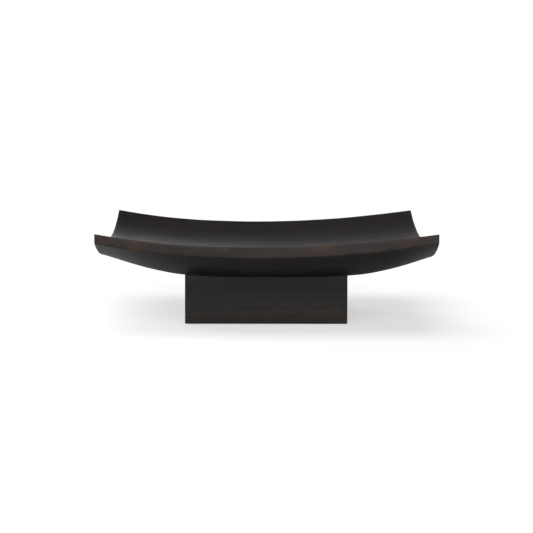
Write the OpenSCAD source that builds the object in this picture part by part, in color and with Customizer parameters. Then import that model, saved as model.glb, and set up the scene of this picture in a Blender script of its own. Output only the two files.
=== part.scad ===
// Square footed dish: a hollowed, upswept board on a plain block foot, stained dark brown.
// Millimetres. The origin is under the middle of the foot, on the surface the dish stands on.
// +X runs along the grain, -Y is the front and +Z is up.

/* [Dish] */
// Side of the square dish
dish_side = 350; // [320:5:380]
// Height of the four rim corners above the table
corner_height = 104.2; // [98:0.2:110]
// How far the front and back rims dip between their corners
front_rim_dip = 13.6; // [8:0.2:16]
// How far the side rims dip between their corners
side_rim_dip = 21.3; // [14:0.2:23]
// Rim thickness at the corners
corner_thickness = 10; // [7:0.2:12]
// Rim thickness at the middle of the front and back
front_thickness = 11.4; // [8:0.2:14]
// Rim thickness at the middle of the sides
side_thickness = 12.8; // [8:0.2:14]
// How far the belly swells below the thin rims
belly_depth = 11.2; // [10:0.2:16]
// How much the hand-carved belly hangs lower on the right than on the left
belly_tilt = 2.9; // [0:0.1:4]
// How far left of the middle the hollow is deepest
hollow_lean = 12.7; // [0:0.1:14]
// Facets along each side of the dish
facets = 30; // [20:2:36]

/* [Foot] */
// Side of the square foot
foot_side = 173; // [150:0.5:176]
// Height of the flat landing under the dish above the table
landing_height = 54.6; // [53.6:0.2:56]
// Radius of the foot's upright corners
foot_corner_radius = 1; // [0.5:0.5:4]

/* [Felt pads] */
// Diameter of a felt pad
pad_diameter = 26; // [20:1:32]
// Thickness of a felt pad
pad_thickness = 2; // [1.6:0.2:3]
// How far a pad stands proud of the foot
pad_proud = 0.8; // [0.4:0.2:1.2]

/* [Screws and dowels] */
// Distance of each screw and its pad from both centre lines
screw_offset = 58; // [50:1:64]
// Length of a wood screw, head included
screw_length = 45; // [40:1:46]
// Diameter over the thread
screw_diameter = 5; // [4:0.5:6]
// Diameter of the countersunk head
screw_head_diameter = 10; // [8:0.5:11]
// How far a screw bites into the dish
screw_bite = 10; // [8:0.5:10]
// Distance of each locating dowel from the middle
dowel_offset = 60; // [45:1:68]
// Diameter of a locating dowel
dowel_diameter = 8; // [6:1:10]
// Length of a locating dowel
dowel_length = 24; // [20:1:30]
// How far a dowel reaches into the dish
dowel_bite = 7.5; // [5:0.5:8]

/* [Hidden] */
$fn = 64;

stain = [0.15, 0.13, 0.12];
steel = [0.72, 0.72, 0.74];
beech = [0.80, 0.65, 0.47];
felt = [0.13, 0.12, 0.12];

half = dish_side / 2;

// Powers that set how flat each dip is in its middle, how full the belly is and where its tilt fades.
front_dip_power = 2.07;
side_dip_power = 2.45;
belly_power_x = 3.9;
belly_power_y = 6.5;
belly_fullness = 1.4;
tilt_power = 6;
tilt_fade = 0.6;

side_names = ["left", "right"];
row_names = ["front", "back"];
socket_clearance = 0.5;
bore_clearance = 0.5;
tip_length = 6;
drive_depth = 1.6;
drive_radius = 2;
dowel_chamfer = 0.8;
pad_edge = 0.4;
cut = 1;

foot_bottom = pad_proud;
pad_recess = pad_thickness - pad_proud;
screw_tip_z = landing_height + screw_bite;
screw_head_z = screw_tip_z - screw_length;
head_height = (screw_head_diameter - screw_diameter) / 2;
screw_x = [-screw_offset, screw_offset];
screw_y = [-screw_offset, screw_offset];

// u and v run from -1 to 1 across the dish; both dips are 0 at the rims and 1 in the middle.
function leaned(u) = u + hollow_lean / half * (1 - u * u);
function arch(u, power) = 1 - pow(abs(u), power);
function front_dip(u) = front_rim_dip * arch(leaned(u), front_dip_power);
function side_dip(v) = side_rim_dip * arch(v, side_dip_power);

function hollow_z(u, v) = corner_height - front_dip(u) - side_dip(v);
function rim_thickness(u, v) = corner_thickness
    + (front_thickness - corner_thickness) * arch(u, 2)
    + (side_thickness - corner_thickness) * arch(v, belly_power_y)
    + belly_tilt * u * (1 - tilt_fade * pow(abs(u), tilt_power)) * arch(v, belly_power_y);
function belly(u, v) = belly_depth * pow(arch(u, belly_power_x) * arch(v, belly_power_y), belly_fullness);
function under_z(u, v) = max(landing_height, hollow_z(u, v) - rim_thickness(u, v) - belly(u, v));

// The carved board as one closed solid: a grid of points on top, one underneath, and four cut edges.
module board() {
    row = facets + 1;
    layer = row * row;
    function at(layer_index, i, j) = layer_index * layer + j * row + i;
    function across(i) = 2 * i / facets - 1;

    points = [
        for (layer_index = [0, 1], j = [0 : facets], i = [0 : facets])
            let (u = across(i), v = across(j))
            [half * u, half * v, layer_index == 0 ? hollow_z(u, v) : under_z(u, v)]
    ];
    top = [
        for (j = [0 : facets - 1], i = [0 : facets - 1]) each [
            [at(0, i, j), at(0, i + 1, j + 1), at(0, i + 1, j)],
            [at(0, i, j), at(0, i, j + 1), at(0, i + 1, j + 1)]
        ]
    ];
    bottom = [
        for (j = [0 : facets - 1], i = [0 : facets - 1]) each [
            [at(1, i, j), at(1, i + 1, j), at(1, i + 1, j + 1)],
            [at(1, i, j), at(1, i + 1, j + 1), at(1, i, j + 1)]
        ]
    ];
    front_and_back = [
        for (i = [0 : facets - 1]) each [
            [at(0, i, 0), at(0, i + 1, 0), at(1, i + 1, 0), at(1, i, 0)],
            [at(0, i, facets), at(1, i, facets), at(1, i + 1, facets), at(0, i + 1, facets)]
        ]
    ];
    left_and_right = [
        for (j = [0 : facets - 1]) each [
            [at(0, 0, j), at(1, 0, j), at(1, 0, j + 1), at(0, 0, j + 1)],
            [at(0, facets, j), at(0, facets, j + 1), at(1, facets, j + 1), at(1, facets, j)]
        ]
    ];
    polyhedron(points, concat(top, bottom, front_and_back, left_and_right));
}

module dish() {
    color(stain) difference() {
        board();
        for (x = [-dowel_offset, dowel_offset])
            translate([x, 0, landing_height - cut])
                cylinder(d = dowel_diameter, h = dowel_bite + socket_clearance + cut);
        for (x = screw_x, y = screw_y)
            translate([x, y, landing_height - cut])
                cylinder(d = screw_diameter, h = screw_bite + socket_clearance + cut);
    }
}

// A square with its corners rounded by true arcs.
module rounded_square(side, radius) {
    inner = side - 2 * radius;
    square([side, inner], center = true);
    square([inner, side], center = true);
    for (x = [-1, 1], y = [-1, 1])
        translate([x * inner / 2, y * inner / 2])
            circle(radius);
}

module foot() {
    dowel_socket = dowel_length - dowel_bite + socket_clearance;
    color(stain) difference() {
        translate([0, 0, foot_bottom])
            linear_extrude(landing_height - foot_bottom)
                rounded_square(foot_side, foot_corner_radius);
        for (x = [-dowel_offset, dowel_offset])
            translate([x, 0, landing_height - dowel_socket])
                cylinder(d = dowel_diameter, h = dowel_socket + cut);
        for (x = screw_x, y = screw_y)
            translate([x, y, 0]) {
                cylinder(d = screw_diameter + bore_clearance, h = landing_height + cut);
                cylinder(d = screw_head_diameter + bore_clearance, h = screw_head_z);
                translate([0, 0, screw_head_z])
                    cylinder(d1 = screw_head_diameter, d2 = screw_diameter, h = head_height);
                cylinder(d = pad_diameter, h = foot_bottom + pad_recess);
            }
    }
}

// A plain dowel with chamfered ends, half in the foot and half in the dish.
module dowel(x) {
    radius = dowel_diameter / 2;
    color(beech)
        translate([x, 0, landing_height + dowel_bite - dowel_length])
            rotate_extrude()
                polygon([
                    [0, 0], [radius - dowel_chamfer, 0], [radius, dowel_chamfer],
                    [radius, dowel_length - dowel_chamfer], [radius - dowel_chamfer, dowel_length],
                    [0, dowel_length]
                ]);
}

// A countersunk wood screw, driven upwards: its head is at the bottom.
module screw(x, y) {
    shank = screw_diameter / 2;
    head = screw_head_diameter / 2;
    color(steel)
        translate([x, y, screw_head_z])
            difference() {
                rotate_extrude()
                    polygon([
                        [0, 0], [head, 0], [shank, head_height],
                        [shank, screw_length - tip_length], [0, screw_length]
                    ]);
                translate([0, 0, -cut])
                    cylinder(r = drive_radius, h = drive_depth + cut, $fn = 6);
            }
}

// A round felt pad pressed into its recess, with a softened lower edge.
module pad(x, y) {
    radius = pad_diameter / 2;
    color(felt)
        translate([x, y, 0])
            rotate_extrude()
                polygon([
                    [0, 0], [radius - pad_edge, 0], [radius, pad_edge],
                    [radius, pad_thickness], [0, pad_thickness]
                ]);
}

dish();
foot();
for (i = [0, 1])
    dowel(dowel_offset * (2 * i - 1));
for (i = [0, 1], j = [0, 1])
    screw(screw_x[i], screw_y[j]);
for (i = [0, 1], j = [0, 1])
    pad(screw_x[i], screw_y[j]);
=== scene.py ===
import math

import bpy
import numpy as np
from mathutils import Matrix, Vector


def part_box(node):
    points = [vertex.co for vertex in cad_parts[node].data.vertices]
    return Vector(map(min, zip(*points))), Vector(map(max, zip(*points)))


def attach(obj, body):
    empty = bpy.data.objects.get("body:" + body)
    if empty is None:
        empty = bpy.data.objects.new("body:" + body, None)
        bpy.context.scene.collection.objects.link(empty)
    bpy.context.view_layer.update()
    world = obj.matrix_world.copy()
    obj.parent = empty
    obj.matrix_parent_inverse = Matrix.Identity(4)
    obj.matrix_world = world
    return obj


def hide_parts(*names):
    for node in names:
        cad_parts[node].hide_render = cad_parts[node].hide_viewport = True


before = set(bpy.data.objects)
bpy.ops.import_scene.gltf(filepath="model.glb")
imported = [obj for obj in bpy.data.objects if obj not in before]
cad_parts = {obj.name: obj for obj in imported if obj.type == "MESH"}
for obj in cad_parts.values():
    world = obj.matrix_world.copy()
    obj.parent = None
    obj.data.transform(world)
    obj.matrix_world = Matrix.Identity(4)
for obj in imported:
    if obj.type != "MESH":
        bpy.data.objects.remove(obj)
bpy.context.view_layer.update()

# Looks of the square footed dish. Metres, in the CAD frame: +X along the grain, -Y the front, +Z up.
MM = 0.001
BODY = "root"

# Places that come from the frame.
DISH_LOW, DISH_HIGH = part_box("dish")
FOOT_LOW, FOOT_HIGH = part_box("foot")
HALF = DISH_HIGH.x
CORNER_Z = DISH_HIGH.z
LANDING_Z = FOOT_HIGH.z
FOOT_HALF = FOOT_HIGH.x
DOWEL_LOW, DOWEL_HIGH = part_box("dowel_left")
SCREW_LOW, SCREW_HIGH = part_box("screw_front_left")
PAD_LOW, PAD_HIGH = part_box("pad_front_left")
DOWEL_RADIUS = (DOWEL_HIGH.x - DOWEL_LOW.x) / 2
HEAD_RADIUS = (SCREW_HIGH.x - SCREW_LOW.x) / 2
PAD_RADIUS = (PAD_HIGH.x - PAD_LOW.x) / 2
SIDES = ("left", "right")
ROWS = ("front", "back")

# The carving, as in the CAD model.
FRONT_DIP = 13.6 * MM
SIDE_DIP = 21.3 * MM
FRONT_DIP_POWER = 2.07
SIDE_DIP_POWER = 2.45
HOLLOW_LEAN = 12.7 * MM
CORNER_THICKNESS = 10 * MM
FRONT_THICKNESS = 11.4 * MM
SIDE_THICKNESS = 12.8 * MM
BELLY_DEPTH = 11.2 * MM
BELLY_TILT = 2.9 * MM
BELLY_POWER_X = 3.9
BELLY_POWER_Y = 6.5
BELLY_FULLNESS = 1.4
TILT_POWER = 6
TILT_FADE = 0.6

# Hand finishing that the CAD model leaves out: eased arrises, rounded upright corners, a soft edge round
# the landing, and scraper waves that fade out within a margin above it.
DISH_EASE = 0.6 * MM
DISH_CORNER = 1.0 * MM
FOOT_EASE = 0.5 * MM
FOOT_CORNER = 1.0 * MM
LANDING_BLEND = 0.3 * MM
LANDING_MARGIN = 4 * MM
SCRAPER_WAVE = 0.10 * MM
# Each wave's share of that height, its radians a metre along X and Y, and how the phase shifts it.
SCRAPER_WAVES = ((1, 61, 23, 1), (1, 37, -71, 2.1), (0.6, 113, 89, 3.7), (0.4, 29, -151, 5.3))
HOLLOW_PHASE = 1.0
BELLY_PHASE = 4.0

# Where the stain is worn: near the arrises, on the cut walls and, less, in the hollow.
EDGE_REACH = 4 * MM
UNDER_EDGE_WEAR = 0.4
HOLLOW_WEAR = 0.4
# The foot's walls turn paler and browner towards the bottom; this is their share of the cut tone at the
# very bottom.
FOOT_BOTTOM_PALING = 0.9
# How the walls' tone changes from their top down to their bottom.
WALL_PALING_POWER = 2.5
# The outer share of an arris that is toned as wall.
WALL_SHARE = 0.3

# Mesh density.
DISH_CELL = 2.3 * MM
FOOT_CELL = 2.4 * MM
ARRIS_POINTS = 5
WALL_ROWS = 5
TURN_SEGMENTS = 48
DOWEL_SEGMENTS = 128
FLUTE_ROWS = 12
SCREW_SEGMENTS = 36
PAD_SEGMENTS = 96
SHARP_ANGLE = math.radians(40)

# Joinery: bores, flutes and threads. THREAD_WIDTH is half a ridge's width as a share of the pitch.
SOCKET_CLEARANCE = 0.5 * MM
BORE_CLEARANCE = 0.25 * MM
CUTTER_SPARE = 1 * MM
FLUTES = 16
FLUTE_DEPTH = 0.35 * MM
DOWEL_CHAMFER = 0.8 * MM
SCREW_RADIUS = 2.5 * MM
SHANK_RADIUS = 1.8 * MM
CORE_RADIUS = 1.6 * MM
THREAD_START = 18 * MM
THREAD_PITCH = 2.2 * MM
THREAD_WIDTH = 0.28
THREAD_ROW = 0.2 * MM
TIP_LENGTH = 6 * MM
TIP_FLAT = 0.1 * MM
DRIVE_RADIUS = 2 * MM
DRIVE_DEPTH = 1.6 * MM
DRIVE_CHAMFER = 0.2 * MM
# Rounded edges: each point's inset from the radius, and its height.
HEAD_EDGE = ((0.3 * MM, 0), (0.1 * MM, 0.05 * MM))
PAD_EDGE = ((0.6 * MM, 0), (0.15 * MM, 0.2 * MM), (0, 0.6 * MM))


def make_object(name, points, faces):
    """A mesh object in the row frame, smooth but for its sharp edges."""
    mesh = bpy.data.meshes.new(name)
    mesh.from_pydata([tuple(p) for p in points], [], faces)
    mesh.polygons.foreach_set("use_smooth", [True] * len(mesh.polygons))
    mesh.set_sharp_from_angle(angle=SHARP_ANGLE)
    piece = bpy.data.objects.new(name, mesh)
    bpy.context.scene.collection.objects.link(piece)
    return piece


def add_attribute(piece, name, values):
    """A value for each vertex, which the materials read by name."""
    layer = piece.data.attributes.new(name, "FLOAT", "POINT")
    layer.data.foreach_set("value", np.asarray(values, np.float32))


# ---------------------------------------------------------------- camera

# Angles in radians, lens and sensor in millimetres, the rest in metres.
CAMERA_PLACE = Vector((-0.0128, DISH_LOW.y - 1.886, 0.2612))
CAMERA_PITCH = 0.1004
CAMERA_YAW = 0.0066
CAMERA_ROLL = 0.0018
CAMERA_LENS = 126.17
CAMERA_SENSOR = 36
CAMERA_NEAR = 0.05
CAMERA_FAR = 200


def make_camera():
    """In front of the dish and a little above it."""
    data = bpy.data.cameras.new("camera")
    data.lens = CAMERA_LENS
    data.sensor_width = CAMERA_SENSOR
    data.clip_start = CAMERA_NEAR
    data.clip_end = CAMERA_FAR
    camera = bpy.data.objects.new("camera", data)
    turn = Matrix.Rotation(-CAMERA_YAW, 4, "Z")
    tip = Matrix.Rotation(math.pi / 2 - CAMERA_PITCH, 4, "X")
    roll = Matrix.Rotation(CAMERA_ROLL, 4, "Z")
    camera.matrix_world = Matrix.Translation(CAMERA_PLACE) @ turn @ tip @ roll
    bpy.context.scene.collection.objects.link(camera)
    bpy.context.scene.camera = camera


make_camera()

# ---------------------------------------------------------------- shape of the dish


def arch(u, power):
    """1 in the middle and 0 at both rims."""
    return 1 - np.abs(u) ** power


def hollow_z(x, y):
    """The top: the sum of a dip between the side rims and one between the front and back rims."""
    u, v = x / HALF, y / HALF
    leaned = u + HOLLOW_LEAN / HALF * (1 - u * u)
    return CORNER_Z - FRONT_DIP * arch(leaned, FRONT_DIP_POWER) - SIDE_DIP * arch(v, SIDE_DIP_POWER)


def belly_z(x, y):
    """The underside: thin at the rims, full in the belly, and cut off flat at the landing."""
    u, v = x / HALF, y / HALF
    thickness = (
        CORNER_THICKNESS
        + (FRONT_THICKNESS - CORNER_THICKNESS) * arch(u, 2)
        + (SIDE_THICKNESS - CORNER_THICKNESS) * arch(v, BELLY_POWER_Y)
        + BELLY_TILT * u * (1 - TILT_FADE * np.abs(u) ** TILT_POWER) * arch(v, BELLY_POWER_Y)
    )
    fullness = np.maximum(arch(u, BELLY_POWER_X) * arch(v, BELLY_POWER_Y), 0) ** BELLY_FULLNESS
    above = hollow_z(x, y) - thickness - BELLY_DEPTH * fullness - LANDING_Z
    blended = (above + LANDING_BLEND) ** 2 / (4 * LANDING_BLEND)
    clipped = np.where(above > LANDING_BLEND, above, np.where(above < -LANDING_BLEND, 0, blended))
    return LANDING_Z + clipped


def scraper(x, y, phase):
    """The faint waves that a hand scraper leaves, a tenth of a millimetre high."""
    waves = sum(share * np.sin(x * along + y * across + shift * phase)
                for share, along, across, shift in SCRAPER_WAVES)
    return SCRAPER_WAVE * waves / 2


def scraped_hollow_z(x, y):
    return hollow_z(x, y) + scraper(x, y, HOLLOW_PHASE)


def scraped_belly_z(x, y):
    """The underside with its scraper waves, which stop short of the flat landing."""
    under = belly_z(x, y)
    clear = np.clip((under - LANDING_Z) / LANDING_MARGIN, 0, 1)
    return under + clear * scraper(x, y, BELLY_PHASE)


def plan_grid(half, ease, corner, cell):
    """A square grid with rounded corners, and how far each of its points lies inside the outline.

    Its outer rings are spaced for the arris.
    """
    start = half - corner
    arc = np.linspace(0, math.pi / 2, ARRIS_POINTS)
    rings = np.append(ease * (1 - np.cos(arc)), corner)
    count = math.ceil(2 * start / cell)
    inner = np.linspace(-start, start, count + 1)[1:-1]
    line = np.concatenate([rings - half, inner, half - rings[::-1]])

    x, y = np.meshgrid(line, line)
    inset = half - np.maximum(np.abs(x), np.abs(y))
    over_x = np.abs(x) - start
    over_y = np.abs(y) - start
    in_corner = (over_x > 0) & (over_y > 0)
    longest = np.maximum(over_x, over_y)
    distance = np.where(in_corner, np.hypot(over_x, over_y), 1)
    pull = longest / distance
    x = np.where(in_corner, np.sign(x) * (start + over_x * pull), x)
    y = np.where(in_corner, np.sign(y) * (start + over_y * pull), y)
    return x, y, inset


def slab_faces(side):
    """The quads of a grid on top, one underneath and the walls between them, and the top's outer ring."""
    layer = side * side
    grid = np.arange(layer).reshape(side, side)
    a, b = grid[:-1, :-1].ravel(), grid[:-1, 1:].ravel()
    c, d = grid[1:, 1:].ravel(), grid[1:, :-1].ravel()
    faces = np.stack([a, b, c, d], 1).tolist() + (np.stack([a, d, c, b], 1) + layer).tolist()
    ring = np.concatenate([grid[0, :-1], grid[:-1, -1], grid[-1, :0:-1], grid[:0:-1, 0]])
    walls = [2 * layer + k * len(ring) + np.arange(len(ring)) for k in range(WALL_ROWS - 1)]
    rows = [ring] + walls + [ring + layer]
    for upper, lower in zip(rows, rows[1:]):
        faces += np.stack([upper, lower, np.roll(lower, -1), np.roll(upper, -1)], 1).tolist()
    return faces, ring


def slab(name, half, top_z, under_z, ease, corner, cell, top_cut, wall_cut):
    """A square board with its arrises eased: a grid on top, one underneath, and walls between them.

    ease is the arris radius, corner the radius of the upright corners and cell the grid's spacing.
    Attribute edge is 1 on an arris and fades away from it.
    Attribute cut is top_cut on top and 0 underneath; wall_cut is its value at the top and the bottom of
    the walls.
    """
    x, y, inset = plan_grid(half, ease, corner, cell)
    within = np.clip(ease - inset, 0, ease)
    drop = ease - np.sqrt(np.maximum(ease * ease - within * within, 0))
    top = np.stack([x.ravel(), y.ravel(), (top_z(x, y) - drop).ravel()], 1)
    under = np.stack([x.ravel(), y.ravel(), (under_z(x, y) + drop).ravel()], 1)
    faces, ring = slab_faces(len(x))
    steps = np.arange(1, WALL_ROWS) / WALL_ROWS
    walls = [top[ring] * (1 - s) + under[ring] * s for s in steps]
    piece = make_object(name, np.concatenate([top, under] + walls), faces)

    fade = np.exp(-((inset.ravel() / EDGE_REACH) ** 2))
    height = np.abs(top[ring, 2] - under[ring, 2])
    wall_fade = [np.exp(-((height * min(s, 1 - s) / EDGE_REACH) ** 2)) for s in steps]
    add_attribute(piece, "edge", np.concatenate([fade, fade * UNDER_EDGE_WEAR] + wall_fade))
    on_wall = (inset.ravel() < ease * WALL_SHARE).astype(float)
    high, low = wall_cut
    on_top = on_wall * high + (1 - on_wall) * top_cut
    wall_tone = [np.full(len(ring), high + (low - high) * s ** WALL_PALING_POWER) for s in steps]
    add_attribute(piece, "cut", np.concatenate([on_top, on_wall * low] + wall_tone))
    return piece


def turn_angles(segments):
    return np.linspace(0, 2 * math.pi, segments, endpoint=False)


def revolve(name, profile, place, segments=TURN_SEGMENTS):
    """A closed turned piece: profile is (radius, height) from the bottom of the axis to its top.

    A radius may be an array with a value for each angle, as for flutes and threads.
    """
    angles = turn_angles(segments)
    points = [(0, 0, profile[0][1])]
    for radius, height in profile[1:-1]:
        radii = np.broadcast_to(radius, segments)
        points += zip(radii * np.cos(angles), radii * np.sin(angles), [height] * segments)
    points.append((0, 0, profile[-1][1]))
    last = len(points) - 1
    around = [(k, (k + 1) % segments) for k in range(segments)]
    faces = [(0, 1 + following, 1 + k) for k, following in around]
    for row in range(len(profile) - 3):
        low = 1 + row * segments
        high = low + segments
        faces += [(low + k, low + following, high + following, high + k) for k, following in around]
    top = 1 + (len(profile) - 3) * segments
    faces += [(last, top + k, top + following) for k, following in around]
    return make_object(name, np.array(points) + np.array(place), faces)


# ---------------------------------------------------------------- node helpers

# The wave texture has one ring in each unit at this scale.
ONE_RING_PER_UNIT = math.pi / 10
# How much longer along the grain than across it a ring's wander is.
RING_LENGTH = 12


class Nodes:
    """Short calls for building one material's node tree."""

    def __init__(self, name):
        self.material = bpy.data.materials.new(name)
        self.material.use_nodes = True
        self.tree = self.material.node_tree
        self.shader = self.tree.nodes["Principled BSDF"]
        self.place = self.tree.nodes.new("ShaderNodeTexCoord").outputs["Object"]

    def link(self, source, target):
        self.tree.links.new(source, target)

    def fill(self, socket, value):
        """Links a socket to another, or sets it to a plain value."""
        if isinstance(value, bpy.types.NodeSocket):
            self.link(value, socket)
        else:
            socket.default_value = value

    def stretched(self, scale, offset=(0, 0, 0)):
        """Places in units of 1 / scale metres along X, Y and Z."""
        mapping = self.tree.nodes.new("ShaderNodeMapping")
        mapping.inputs["Scale"].default_value = scale
        mapping.inputs["Location"].default_value = offset
        self.link(self.place, mapping.inputs["Vector"])
        return mapping.outputs["Vector"]

    def growth_rings(self, spacing, pith, wander):
        """Saw-toothed rings about a line along X through pith, with a slow wander along it."""
        node = self.tree.nodes.new("ShaderNodeTexWave")
        node.wave_type = "RINGS"
        node.rings_direction = "X"
        node.wave_profile = "SAW"
        node.inputs["Scale"].default_value = ONE_RING_PER_UNIT
        node.inputs["Distortion"].default_value = wander
        node.inputs["Detail"].default_value = 2
        node.inputs["Detail Scale"].default_value = 0.6
        across = 1 / spacing
        scale = (across / RING_LENGTH, across, across)
        place = self.stretched(scale, (0, -pith[0] * across, -pith[1] * across))
        self.link(place, node.inputs["Vector"])
        return node.outputs["Fac"]

    def noise(self, scale, detail=4, roughness=0.55, distortion=0.0):
        """Noise with about scale features a metre along X, Y and Z."""
        node = self.tree.nodes.new("ShaderNodeTexNoise")
        node.inputs["Scale"].default_value = 1
        node.inputs["Detail"].default_value = detail
        node.inputs["Roughness"].default_value = roughness
        node.inputs["Distortion"].default_value = distortion
        self.link(self.stretched(scale), node.inputs["Vector"])
        return node.outputs["Fac"]

    def ramp(self, value, low, high, to_low=0.0, to_high=1.0):
        """Goes smoothly from to_low to to_high as value goes from low to high."""
        node = self.tree.nodes.new("ShaderNodeMapRange")
        node.interpolation_type = "SMOOTHSTEP"
        self.link(value, node.inputs["Value"])
        node.inputs["From Min"].default_value = low
        node.inputs["From Max"].default_value = high
        node.inputs["To Min"].default_value = to_low
        node.inputs["To Max"].default_value = to_high
        return node.outputs["Result"]

    def math(self, operation, first, second):
        node = self.tree.nodes.new("ShaderNodeMath")
        node.operation = operation
        self.fill(node.inputs[0], first)
        self.fill(node.inputs[1], second)
        return node.outputs["Value"]

    def attribute(self, name):
        node = self.tree.nodes.new("ShaderNodeAttribute")
        node.attribute_name = name
        return node.outputs["Fac"]

    def mix(self, factor, first, second):
        node = self.tree.nodes.new("ShaderNodeMix")
        node.data_type = "RGBA"
        self.fill(node.inputs["Factor"], factor)
        self.fill(node.inputs["A"], first)
        self.fill(node.inputs["B"], second)
        return node.outputs["Result"]

    def bump(self, height, distance):
        node = self.tree.nodes.new("ShaderNodeBump")
        node.inputs["Distance"].default_value = distance
        node.inputs["Strength"].default_value = 1.0
        self.link(height, node.inputs["Height"])
        self.link(node.outputs["Normal"], self.shader.inputs["Normal"])

    def set(self, socket, value):
        """Sets or links one input of the shader."""
        self.fill(self.shader.inputs[socket], value)


# ---------------------------------------------------------------- materials

# Where the board's growth rings centre, in Y and Z, and how far apart they are.
PITH = (0.035, -0.09)
RING_SPACING = 6 * MM

# Colours; a pair is the darker and the paler end of its range.
SMOOTH_STAIN = ((0.0090, 0.0083, 0.0080, 1), (0.0155, 0.0144, 0.0139, 1))
CUT_STAIN = ((0.0225, 0.0194, 0.0177, 1), (0.0400, 0.0345, 0.0318, 1))
PORE_BLACK = (0.003, 0.0025, 0.0022, 1)
RUBBED_BROWN = (0.075, 0.040, 0.028, 1)
BARE_WOOD = ((0.16, 0.075, 0.040, 1), (0.26, 0.135, 0.075, 1))
BEECH = ((0.52, 0.34, 0.19, 1), (0.66, 0.47, 0.29, 1))
BEECH_RAY = (0.36, 0.21, 0.11, 1)
ZINC = ((0.50, 0.51, 0.53, 1), (0.66, 0.66, 0.66, 1))
FELT = ((0.013, 0.012, 0.011, 1), (0.050, 0.046, 0.043, 1))


def stained_wood():
    """Brown hardwood under a near-black satin stain, rubbed thin on the cut faces and the arrises."""
    n = Nodes("stained_wood")
    figure = n.noise((3.5, 38, 38), detail=3, distortion=0.6)
    fibres = n.noise((14, 420, 420), detail=5, roughness=0.6)
    pores = n.noise((160, 2600, 2600), detail=2)
    rings = n.growth_rings(RING_SPACING, PITH, wander=2.5)
    patches = n.noise((13, 34, 34), detail=3, roughness=0.6)
    mottle = n.noise((75, 140, 140), detail=4, roughness=0.65)

    tone = n.math("ADD", n.math("MULTIPLY", figure, 0.45), n.math("MULTIPLY", fibres, 0.45))
    tone = n.math("ADD", tone, n.math("MULTIPLY", rings, 0.10))
    shade = n.ramp(tone, 0.35, 0.66)
    smooth_face = n.mix(shade, *SMOOTH_STAIN)
    cut_face = n.mix(shade, *CUT_STAIN)
    cut = n.attribute("cut")
    stain = n.mix(cut, smooth_face, cut_face)
    open_pores = n.ramp(pores, 0.30, 0.40, 1.0, 0.0)
    stain = n.mix(n.math("MULTIPLY", open_pores, 0.7), stain, PORE_BLACK)

    patchy = n.ramp(patches, 0.42, 0.60)
    on_cut = n.math("MULTIPLY", cut, patchy)
    on_edge = n.math("MULTIPLY", n.attribute("edge"), n.ramp(patches, 0.36, 0.62))
    worn = n.math("ADD", n.math("MULTIPLY", on_cut, 0.42), n.math("MULTIPLY", on_edge, 0.5))
    worn = n.math("MINIMUM", worn, 1.0)
    worn = n.math("MULTIPLY", worn, n.ramp(mottle, 0.40, 0.60, 0.25, 1.0))
    rubbed = n.mix(worn, stain, RUBBED_BROWN)
    bare = n.mix(fibres, *BARE_WOOD)
    n.set("Base Color", n.mix(n.attribute("bare"), rubbed, bare))
    n.set("Roughness", n.ramp(fibres, 0.3, 0.7, 0.31, 0.39))
    n.set("IOR", 1.45)
    n.set("Specular IOR Level", 0.35)
    relief = n.math("SUBTRACT", n.math("MULTIPLY", fibres, 0.6), n.math("MULTIPLY", open_pores, 0.8))
    n.bump(relief, 0.04 * MM)
    return n.material


def dowel_beech():
    """Plain beech, with short rays and fine grain up the dowel."""
    n = Nodes("dowel_beech")
    grain = n.noise((900, 900, 30), detail=4)
    rays = n.ramp(n.noise((1400, 1400, 260), detail=1), 0.62, 0.72)
    wood = n.mix(n.ramp(grain, 0.3, 0.7), *BEECH)
    n.set("Base Color", n.mix(n.math("MULTIPLY", rays, 0.6), wood, BEECH_RAY))
    n.set("Roughness", n.ramp(grain, 0.3, 0.7, 0.55, 0.72))
    n.bump(grain, 0.05 * MM)
    return n.material


def screw_zinc():
    """Bright zinc plate with drawn marks and a slightly clouded bloom."""
    n = Nodes("screw_zinc")
    cloud = n.noise((260, 260, 260), detail=4)
    marks = n.noise((2600, 2600, 500), detail=3)
    n.set("Base Color", n.mix(n.ramp(cloud, 0.35, 0.65), *ZINC))
    n.set("Metallic", 1.0)
    n.set("Roughness", n.ramp(marks, 0.3, 0.7, 0.24, 0.42))
    n.bump(marks, 0.02 * MM)
    return n.material


def pad_felt():
    """Dense dark felt: matted fibres with a soft sheen."""
    n = Nodes("pad_felt")
    mat = n.noise((1500, 1500, 1500), detail=6, roughness=0.7, distortion=1.5)
    tufts = n.noise((420, 420, 420), detail=3, distortion=0.8)
    n.set("Base Color", n.mix(n.ramp(mat, 0.3, 0.7), *FELT))
    n.set("Roughness", n.ramp(tufts, 0.3, 0.7, 0.85, 1.0))
    n.set("Sheen Weight", 0.35)
    n.set("Sheen Roughness", 0.5)
    n.bump(n.math("ADD", mat, tufts), 0.25 * MM)
    return n.material


# ---------------------------------------------------------------- pieces

FINISHES = {
    "stained_wood": stained_wood(),
    "dowel_wood": dowel_beech(),
    "screw_steel": screw_zinc(),
    "pad_felt": pad_felt(),
}


def stand_for(piece, node, slot):
    """Gives a detailed piece its finish and puts it in the place of a CAD node."""
    piece.data.materials.append(FINISHES[slot])
    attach(piece, BODY)
    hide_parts(node)


def on_axis(low, high, z):
    """The point at height z on the upright axis through the middle of a box."""
    centre = (low + high) / 2
    return centre.x, centre.y, z


def mark_bare(piece, value):
    """Sets attribute bare on every face: 1 shows bare wood, 0 the stain."""
    layer = piece.data.attributes.new("bare", "FLOAT", "FACE")
    layer.data.foreach_set("value", np.full(len(piece.data.polygons), value, np.float32))


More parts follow.
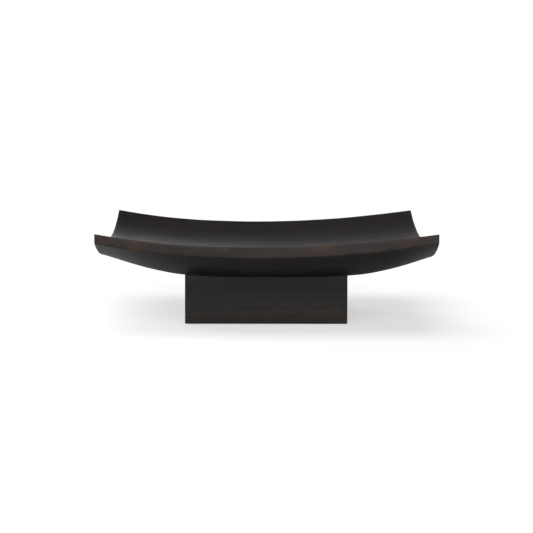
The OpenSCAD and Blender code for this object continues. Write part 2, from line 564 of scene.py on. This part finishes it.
def bored(piece, cutters):
    """Cuts the cutters' shapes out of the piece and removes them. Attribute bare is 1 in the bores."""
    mark_bare(piece, 0)
    for cutter in cutters:
        mark_bare(cutter, 1)
        cut = piece.modifiers.new("bore", "BOOLEAN")
        cut.operation = "DIFFERENCE"
        cut.solver = "MANIFOLD"
        cut.object = cutter
    graph = bpy.context.evaluated_depsgraph_get()
    result = bpy.data.meshes.new_from_object(
        piece.evaluated_get(graph), preserve_all_data_layers=True, depsgraph=graph)
    piece.modifiers.clear()
    piece.data = result
    piece.data.materials.clear()
    piece.data.set_sharp_from_angle(angle=SHARP_ANGLE)
    for cutter in cutters:
        bpy.data.objects.remove(cutter)


def fastener_names(kind):
    """The four screws or the four pads."""
    return [f"{kind}_{row}_{side}" for row in ROWS for side in SIDES]


def make_dish():
    """The carved board, with blind holes in its landing for the dowels and the screws."""
    dish = slab("carved_dish", HALF, scraped_hollow_z, scraped_belly_z, ease=DISH_EASE,
                corner=DISH_CORNER, cell=DISH_CELL, top_cut=HOLLOW_WEAR, wall_cut=(1, 1))
    cutters = []
    for name in ["dowel_" + side for side in SIDES] + fastener_names("screw"):
        low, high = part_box(name)
        radius = DOWEL_RADIUS if name.startswith("dowel") else SCREW_RADIUS
        top = high.z - LANDING_Z + SOCKET_CLEARANCE
        profile = [(0, -CUTTER_SPARE), (radius, -CUTTER_SPARE), (radius, top), (0, top)]
        cutters.append(revolve("bore", profile, on_axis(low, high, LANDING_Z)))
    bored(dish, cutters)
    stand_for(dish, "dish", "stained_wood")


def make_foot():
    """The block, with dowel sockets, and under each screw a counterbore and a recess for its pad."""
    def top_z(x, y):
        return np.full_like(x, FOOT_HIGH.z)

    def under_z(x, y):
        return np.full_like(x, FOOT_LOW.z)

    # Its walls turn paler and browner towards the bottom.
    foot = slab("block_foot", FOOT_HALF, top_z, under_z, ease=FOOT_EASE, corner=FOOT_CORNER,
                cell=FOOT_CELL, top_cut=0, wall_cut=(0, FOOT_BOTTOM_PALING))
    over = LANDING_Z + CUTTER_SPARE
    cutters = []
    for side in SIDES:
        low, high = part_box("dowel_" + side)
        base = low.z - SOCKET_CLEARANCE
        profile = [(0, base), (DOWEL_RADIUS, base), (DOWEL_RADIUS, over), (0, over)]
        cutters.append(revolve("socket", profile, on_axis(low, high, 0)))
    bore = SCREW_RADIUS + BORE_CLEARANCE
    counterbore = HEAD_RADIUS + BORE_CLEARANCE
    for name in fastener_names("screw"):
        low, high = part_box(name)
        seat = low.z
        profile = [
            (0, -CUTTER_SPARE), (PAD_RADIUS, -CUTTER_SPARE), (PAD_RADIUS, PAD_HIGH.z),
            (counterbore, PAD_HIGH.z), (counterbore, seat), (HEAD_RADIUS, seat),
            (bore, seat + HEAD_RADIUS - bore), (bore, over), (0, over),
        ]
        cutters.append(revolve("bore", profile, on_axis(low, high, 0)))
    bored(foot, cutters)
    stand_for(foot, "foot", "stained_wood")


def make_dowel(name):
    """A fluted dowel: the flutes let glue and air out of its sockets."""
    low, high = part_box(name)
    length = high.z - low.z
    flute = FLUTE_DEPTH * (0.5 - 0.5 * np.cos(FLUTES * turn_angles(DOWEL_SEGMENTS))) ** 2
    crest = DOWEL_RADIUS - flute
    end = DOWEL_RADIUS - DOWEL_CHAMFER
    profile = [(0, 0), (end, 0)]
    heights = np.linspace(DOWEL_CHAMFER, length - DOWEL_CHAMFER, FLUTE_ROWS)
    profile += [(crest, height) for height in heights]
    profile += [(end, length), (0, length)]
    piece = revolve(name + "_fluted", profile, on_axis(low, high, low.z), DOWEL_SEGMENTS)
    stand_for(piece, name, "dowel_wood")


def make_screw(name):
    """A countersunk wood screw, point up: hexagonal recess, plain shank and a sharp helical thread."""
    low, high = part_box(name)
    length = high.z - low.z
    angles = turn_angles(SCREW_SEGMENTS)
    sixth = math.pi / 3
    hexagon = DRIVE_RADIUS * math.cos(sixth / 2) / np.cos(angles % sixth - sixth / 2)
    profile = [(0, DRIVE_DEPTH), (hexagon, DRIVE_DEPTH), (hexagon, DRIVE_CHAMFER)]
    profile.append((hexagon + DRIVE_CHAMFER, 0))
    profile += [(HEAD_RADIUS - inset, height) for inset, height in HEAD_EDGE]
    profile.append((SHANK_RADIUS, HEAD_RADIUS - SHANK_RADIUS))
    for height in np.arange(THREAD_START, length - TIP_FLAT, THREAD_ROW):
        taper = min(1, (length - height) / TIP_LENGTH)
        grow = min(1, (height - THREAD_START) / THREAD_PITCH)
        phase = (height / THREAD_PITCH - angles / (2 * math.pi)) % 1 - 0.5
        ridge = np.clip(1 - np.abs(phase) / THREAD_WIDTH, 0, 1)
        core = CORE_RADIUS * taper
        profile.append((core + grow * ridge * (SCREW_RADIUS * taper - core), height))
    profile.append((0, length))
    piece = revolve(name + "_threaded", profile, on_axis(low, high, low.z), SCREW_SEGMENTS)
    stand_for(piece, name, "screw_steel")


def make_pad(name):
    """A round felt pad with a soft lower edge."""
    low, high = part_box(name)
    thickness = high.z - low.z
    profile = [(0, 0), (PAD_RADIUS / 2, 0)]
    profile += [(PAD_RADIUS - inset, height) for inset, height in PAD_EDGE]
    profile += [(PAD_RADIUS, thickness), (0, thickness)]
    piece = revolve(name + "_felt", profile, on_axis(low, high, low.z), PAD_SEGMENTS)
    stand_for(piece, name, "pad_felt")


make_dish()
make_foot()
for side in SIDES:
    make_dowel("dowel_" + side)
for screw, pad in zip(fastener_names("screw"), fastener_names("pad")):
    make_screw(screw)
    make_pad(pad)

# ---------------------------------------------------------------- studio

# The key light's spread and tilt are in degrees, and so are the angles of the surroundings.
WHITE = (1, 1, 1, 1)
FLOOR_HALF = 60.0
FLOOR_ALBEDO = 0.75
FLOOR_LIFT = 0.55
KEY_STRENGTH = 0.9
KEY_SPREAD = 70
KEY_TILT = 20
BACKDROP_STRENGTH = 1.2

# Pale surfaces round the dish: azimuth, elevation, angular radius and strength. Azimuth 0 is behind it
# and 90 is to its right.
SURROUNDINGS = {
    "back_left": (-38, 8, 22, 4.5),
    "behind": (-14, 8, 16, 3.8),
    "back_right": (14, 8, 16, 0.95),
    "back_high": (0, 45, 25, 0.07),
    "front_left": (-130, 10, 35, 0.8),
    "front": (-165, 10, 35, 1.6),
    "front_right": (150, 10, 35, 1.65),
}
# The middle of a surface, as a share of its angular radius, that has its full strength.
GLOW_CORE = 1 / 3


def make_floor():
    """White card. The camera sees it lifted, as a studio floor is; the dish sees it as it is lit."""
    corners = [(-1, -1), (1, -1), (1, 1), (-1, 1)]
    points = [(x * FLOOR_HALF, y * FLOOR_HALF, 0) for x, y in corners]
    floor = make_object("floor", points, [(0, 1, 2, 3)])
    n = Nodes("floor_white")
    seen = n.tree.nodes.new("ShaderNodeLightPath").outputs["Is Camera Ray"]
    grey = (FLOOR_ALBEDO, FLOOR_ALBEDO, FLOOR_ALBEDO, 1)
    n.set("Base Color", n.mix(seen, grey, WHITE))
    n.set("Roughness", 1.0)
    n.set("Specular IOR Level", 0.0)
    n.set("Emission Color", WHITE)
    n.set("Emission Strength", n.math("MULTIPLY", seen, FLOOR_LIFT))
    floor.data.materials.append(n.material)


def make_key_light():
    """A wide soft key from the upper left, even over the whole floor."""
    data = bpy.data.lights.new("key_light", "SUN")
    data.energy = KEY_STRENGTH
    data.angle = math.radians(KEY_SPREAD)
    light = bpy.data.objects.new("key_light", data)
    light.rotation_euler = (0, math.radians(-KEY_TILT), 0)
    bpy.context.scene.collection.objects.link(light)


def surface_glow(tree, azimuth, elevation, radius, strength):
    """How brightly one pale surface shines from each direction."""
    a, e, r = math.radians(azimuth), math.radians(elevation), math.radians(radius)
    direction = tree.nodes.new("ShaderNodeTexCoord").outputs["Generated"]
    towards = tree.nodes.new("ShaderNodeVectorMath")
    towards.operation = "DOT_PRODUCT"
    tree.links.new(direction, towards.inputs[0])
    towards.inputs[1].default_value = (math.sin(a) * math.cos(e), math.cos(a) * math.cos(e), math.sin(e))
    glow = tree.nodes.new("ShaderNodeMapRange")
    glow.interpolation_type = "SMOOTHSTEP"
    tree.links.new(towards.outputs["Value"], glow.inputs["Value"])
    glow.inputs["From Min"].default_value = math.cos(r)
    glow.inputs["From Max"].default_value = math.cos(r * GLOW_CORE)
    glow.inputs["To Max"].default_value = strength
    return glow.outputs["Result"]


def make_world():
    """A dark room with pale surfaces in it, and white behind everything the camera sees."""
    world = bpy.data.worlds.new("studio")
    world.use_nodes = True
    bpy.context.scene.world = world
    tree = world.node_tree

    total = None
    for surface in SURROUNDINGS.values():
        glow = surface_glow(tree, *surface)
        if total is None:
            total = glow
            continue
        added = tree.nodes.new("ShaderNodeMath")
        tree.links.new(total, added.inputs[0])
        tree.links.new(glow, added.inputs[1])
        total = added.outputs["Value"]

    room = tree.nodes["Background"]
    room.inputs["Color"].default_value = WHITE
    tree.links.new(total, room.inputs["Strength"])
    backdrop = tree.nodes.new("ShaderNodeBackground")
    backdrop.inputs["Color"].default_value = WHITE
    backdrop.inputs["Strength"].default_value = BACKDROP_STRENGTH
    seen = tree.nodes.new("ShaderNodeLightPath")
    mix = tree.nodes.new("ShaderNodeMixShader")
    tree.links.new(seen.outputs["Is Camera Ray"], mix.inputs["Fac"])
    tree.links.new(room.outputs["Background"], mix.inputs[1])
    tree.links.new(backdrop.outputs["Background"], mix.inputs[2])
    tree.links.new(mix.outputs["Shader"], tree.nodes["World Output"].inputs["Surface"])


make_floor()
make_key_light()
make_world()
bpy.context.scene.view_settings.view_transform = "Standard"
